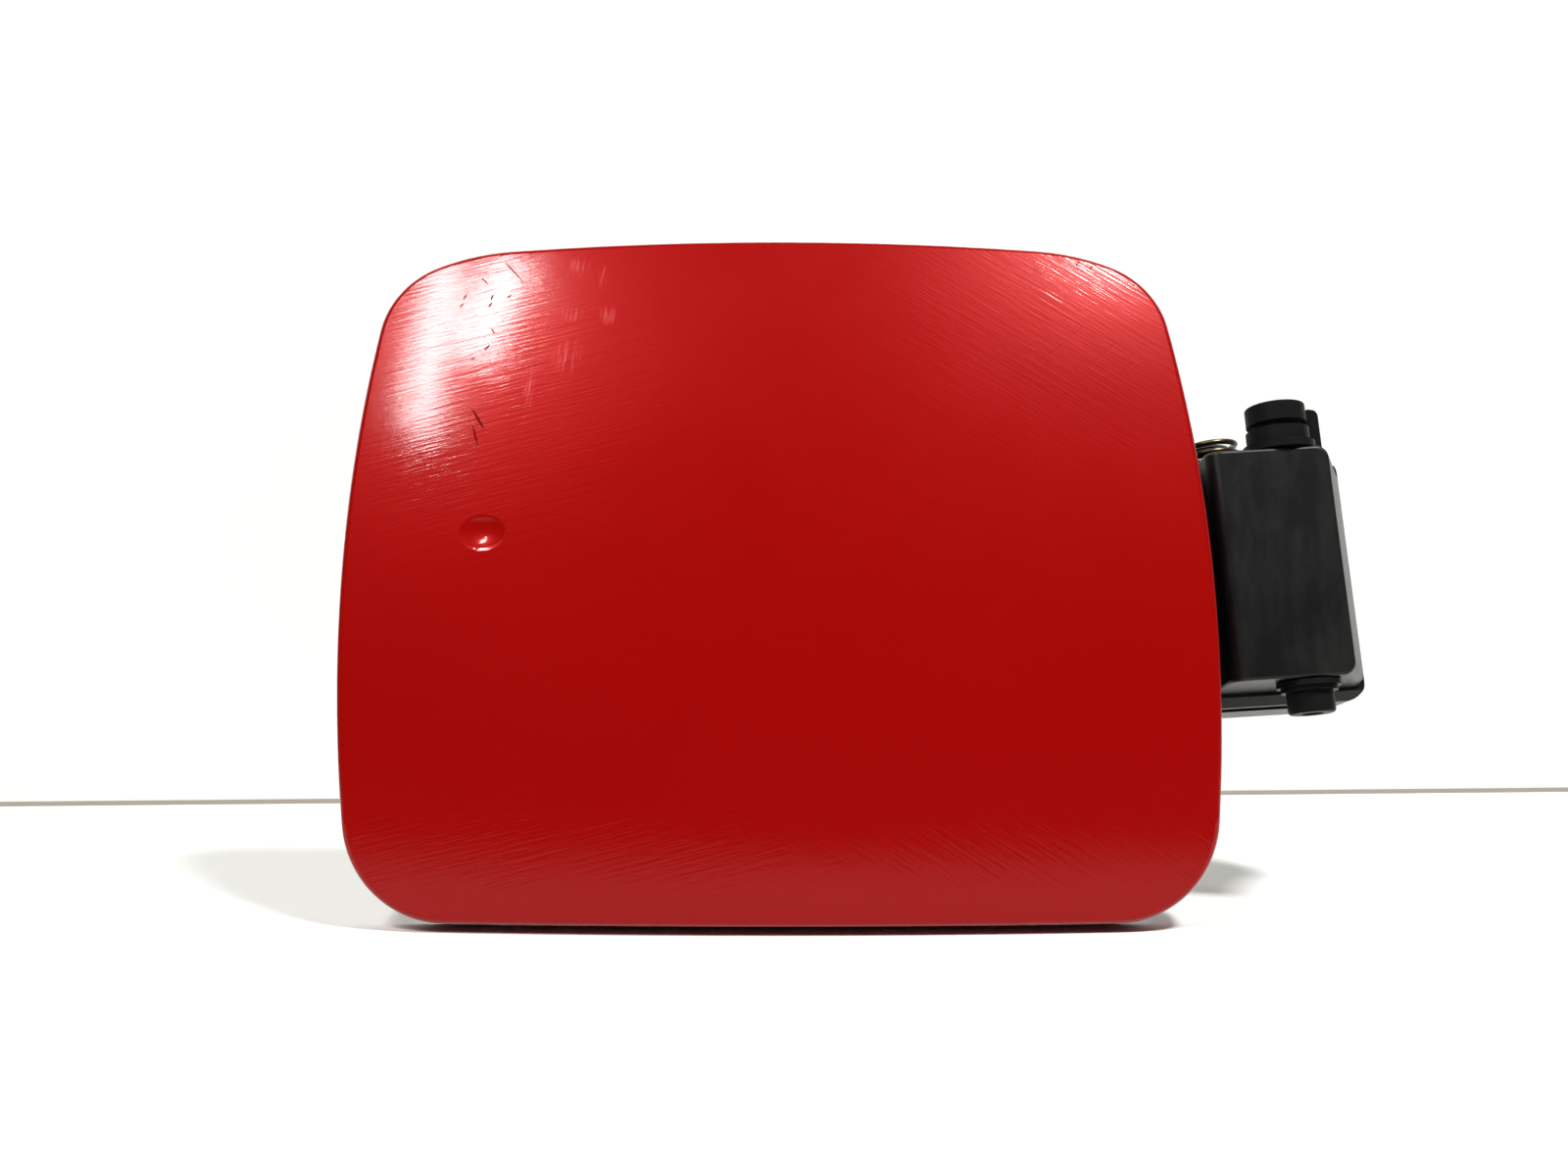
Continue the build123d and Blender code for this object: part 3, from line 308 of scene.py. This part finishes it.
# Pivot pin: steel rod through the barrel, which shows only in the ends of the bushes. Studs and nuts: they
# hold the arm's foot on the inner panel. All are zinc-plated steel, grey with a faint cloudy bloom.
ZINC_BRIGHT = "#A9A8A2"
ZINC_CLOUDY = "#7C7B77"
ZINC_CLOUD = 2.5
zinc, tree, shader, place = new_material("zinc_plated_steel", {"Metallic": 1.0})
bloom = add(tree, "ShaderNodeTexNoise", {
    "Vector": place, "Scale": 1 / (ZINC_CLOUD * MM), "Detail": 4.0}).outputs["Fac"]
tint = add(tree, "ShaderNodeMix", {
    "Factor": bloom, 6: linear(ZINC_BRIGHT), 7: linear(ZINC_CLOUDY)}, data_type="RGBA").outputs[2]
tree.links.new(tint, shader.inputs["Base Color"])
rough = add(tree, "ShaderNodeMapRange", {"Value": bloom, "To Min": 0.3, "To Max": 0.5}).outputs[0]
tree.links.new(rough, shader.inputs["Roughness"])
dress(zinc, "pivot_pin", "arm_studs", "arm_nuts")

# Toggle spring: coil of hard-drawn steel wire on the arm's post, tempered to a brown straw tint and lightly
# oiled, so it glints softly.
STRAW_BROWN = "#6C604C"
STRAW_DARK = "#3C3327"
TEMPER_SIZE = 4.0
wire, tree, shader, place = new_material("tempered_spring_wire", {"Metallic": 1.0, "Roughness": 0.34})
temper = add(tree, "ShaderNodeTexNoise", {
    "Vector": place, "Scale": 1 / (TEMPER_SIZE * MM), "Detail": 3.0}).outputs["Fac"]
tint = add(tree, "ShaderNodeMix", {
    "Factor": temper, 6: linear(STRAW_BROWN), 7: linear(STRAW_DARK)}, data_type="RGBA").outputs[2]
tree.links.new(tint, shader.inputs["Base Color"])
dress(wire, "toggle_spring")

# Striker rivets: soft aluminium, set through striker and panel and closed with a plain domed head, whose
# sheen the riveting tool leaves uneven.
ALUMINIUM = "#C0C1C3"
ALUMINIUM_DULL = "#A3A4A7"
DENT_SIZE = 1.2
alloy, tree, shader, place = new_material("plain_aluminium", {"Metallic": 1.0})
dents = add(tree, "ShaderNodeTexNoise", {
    "Vector": place, "Scale": 1 / (DENT_SIZE * MM), "Detail": 3.0}).outputs["Fac"]
tint = add(tree, "ShaderNodeMix", {
    "Factor": dents, 6: linear(ALUMINIUM), 7: linear(ALUMINIUM_DULL)}, data_type="RGBA").outputs[2]
tree.links.new(tint, shader.inputs["Base Color"])
rough = add(tree, "ShaderNodeMapRange", {"Value": dents, "To Min": 0.3, "To Max": 0.5}).outputs[0]
tree.links.new(rough, shader.inputs["Roughness"])
dress(alloy, "striker_rivets")

# Buffers and pads: moulded black rubber stops, pushed into the inner panel at the free edge, and soft mastic
# between the two sheets. A grey bloom clouds the rubber.
RUBBER_BLACK = "#0E0E0F"
RUBBER_BLOOM = "#1B1B1C"
RUBBER_CLOUD = 5.0
rubber, tree, shader, place = new_material("moulded_black_rubber", {"Roughness": 0.75})
bloom = add(tree, "ShaderNodeTexNoise", {
    "Vector": place, "Scale": 1 / (RUBBER_CLOUD * MM), "Detail": 4.0}).outputs["Fac"]
tint = add(tree, "ShaderNodeMix", {
    "Factor": bloom, 6: linear(RUBBER_BLACK), 7: linear(RUBBER_BLOOM)}, data_type="RGBA").outputs[2]
tree.links.new(tint, shader.inputs["Base Color"])
dress(rubber, "upper_buffer", "lower_buffer", "bond_pads")

# Table and wall: white laminate table that meets a white wall behind the part, 4 degrees out of square. The
# thin grey strip where the two meet is painted shade for the shadow in that crease. Each sheet is clear from
# its back, so the wall doesn't hide the part from behind, and fades into the white surroundings far from the
# part.
FLOOR_Z = cad_box[0][2]
WALL_X = -0.12
WALL_Y = 0.198
WALL_TURN = 4.2
UPRIGHT = 90
# Half-height of the grey strip of painted shade in the crease between table and wall
PAINTED_SHADE_HEIGHT = 0.0016
SHEET_SIZE = 4.0
SHEET_ROUGHNESS = 0.55
FADE_START = 0.6
FADE_END = 1.1
sheets = [
    ("table", "#EAEAE7", 0, 0, SHEET_SIZE, (0, 0, FLOOR_Z)),
    ("wall", "#D8D8D5", UPRIGHT, WALL_TURN, SHEET_SIZE, (WALL_X, WALL_Y, FLOOR_Z)),
    # Painted shade: a grey strip in the crease where table meets wall, standing for its shadow
    ("painted_shade_joint", "#918B7F", UPRIGHT, WALL_TURN, 2 * PAINTED_SHADE_HEIGHT, (WALL_X, WALL_Y - PAINTED_SHADE_HEIGHT, FLOOR_Z)),
]
for name, colour, tilt, turn, height, shift in sheets:
    plain, tree, shader, place = new_material(f"matt_{name}", {
        "Base Color": linear(colour), "Roughness": SHEET_ROUGHNESS})
    back = add(tree, "ShaderNodeNewGeometry", {}).outputs["Backfacing"]
    reach = add(tree, "ShaderNodeVectorMath", {0: place}, operation="LENGTH").outputs["Value"]
    far = add(tree, "ShaderNodeMapRange", {
        "Value": reach, "From Min": FADE_START, "From Max": FADE_END}).outputs[0]
    gone = add(tree, "ShaderNodeMath", {0: back, 1: far}, operation="MAXIMUM").outputs[0]
    clear = add(tree, "ShaderNodeBsdfTransparent", {}).outputs[0]
    faced = add(tree, "ShaderNodeMixShader", {0: gone, 1: shader.outputs[0], 2: clear}).outputs[0]
    tree.links.new(faced, tree.nodes["Material Output"].inputs["Surface"])
    sheet = bmesh.new()
    bmesh.ops.create_grid(sheet, x_segments=1, y_segments=1, size=SHEET_SIZE / 2)
    bmesh.ops.scale(sheet, verts=sheet.verts, vec=(1, height / SHEET_SIZE, 1))
    bmesh.ops.rotate(sheet, verts=sheet.verts, matrix=Matrix.Rotation(radians(tilt), 3, "X"))
    bmesh.ops.rotate(sheet, verts=sheet.verts, matrix=Matrix.Rotation(radians(turn), 3, "Z"))
    bmesh.ops.translate(sheet, verts=sheet.verts, vec=shift)
    mesh = bpy.data.meshes.new(name)
    sheet.to_mesh(mesh)
    sheet.free()
    mesh.materials.append(plain)
    piece = bpy.data.objects.new(name, mesh)
    bpy.context.scene.collection.objects.link(piece)

# Lamps: a window of two panes to the left and a round soft lamp to the right, in front and above. Each row
# has the point it is aimed at, azimuth and elevation, width and height, lean and power. The room is dim.
LAMP_DISTANCE = 1.2
ROOM_GLOW = 0.045
BACKGROUND_GLOW = 1.0
WHITE = "#FFFFFF"
lamps = [
    ("left_tall", "RECTANGLE", (-0.195, -0.003, 0.080), -31.0, 43.5, 0.050, 0.400, 12, 6.4),
    ("left_short", "RECTANGLE", (-0.190, -0.003, 0.085), -26.6, 47.7, 0.070, 0.235, 0, 5.6),
    ("right", "DISK", (-0.047, 0.002, 0.097), 39.0, 55.2, 0.220, 0.220, 0, 20.0),
]
for name, shape, target, azimuth, elevation, width, height, lean, power in lamps:
    lamp = bpy.data.lights.new(name, "AREA")
    lamp.shape = shape
    lamp.size = width
    lamp.size_y = height
    lamp.energy = power
    holder = bpy.data.objects.new(name, lamp)
    level = cos(radians(elevation))
    way = Vector((sin(radians(azimuth)) * level, -cos(radians(azimuth)) * level, sin(radians(elevation))))
    holder.location = Vector(target) + way * LAMP_DISTANCE
    aim = (-way).to_track_quat("-Z", "Y").to_matrix().to_4x4()
    holder.rotation_euler = (aim @ Matrix.Rotation(radians(lean), 4, "Z")).to_euler()
    bpy.context.scene.collection.objects.link(holder)
world = bpy.data.worlds.new("dim_room")
world.use_nodes = True
tree = world.node_tree
surroundings = tree.nodes["Background"]
surroundings.inputs["Color"].default_value = linear(WHITE)
seen = add(tree, "ShaderNodeLightPath", {}).outputs["Is Camera Ray"]
glow = add(tree, "ShaderNodeMapRange", {
    "Value": seen, "To Min": ROOM_GLOW, "To Max": BACKGROUND_GLOW}).outputs[0]
tree.links.new(glow, surroundings.inputs["Strength"])
bpy.context.scene.world = world
bpy.context.scene.view_settings.view_transform = "Standard"

# Camera: level and straight at the middle of the flap, as the photograph was taken, with the lens that fits
# the photograph on a sensor 36 mm wide.
CAMERA_PLACE = (-0.11998, -0.37928, 0.02640)
LENS = 38.25
SENSOR_WIDTH = 36.0
LEVEL = (radians(90), 0, 0)
camera = bpy.data.cameras.new("camera")
camera.sensor_width = SENSOR_WIDTH
camera.sensor_fit = "HORIZONTAL"
camera.lens = LENS
view = bpy.data.objects.new("camera", camera)
view.location = CAMERA_PLACE
view.rotation_euler = LEVEL
bpy.context.scene.collection.objects.link(view)
bpy.context.scene.camera = view
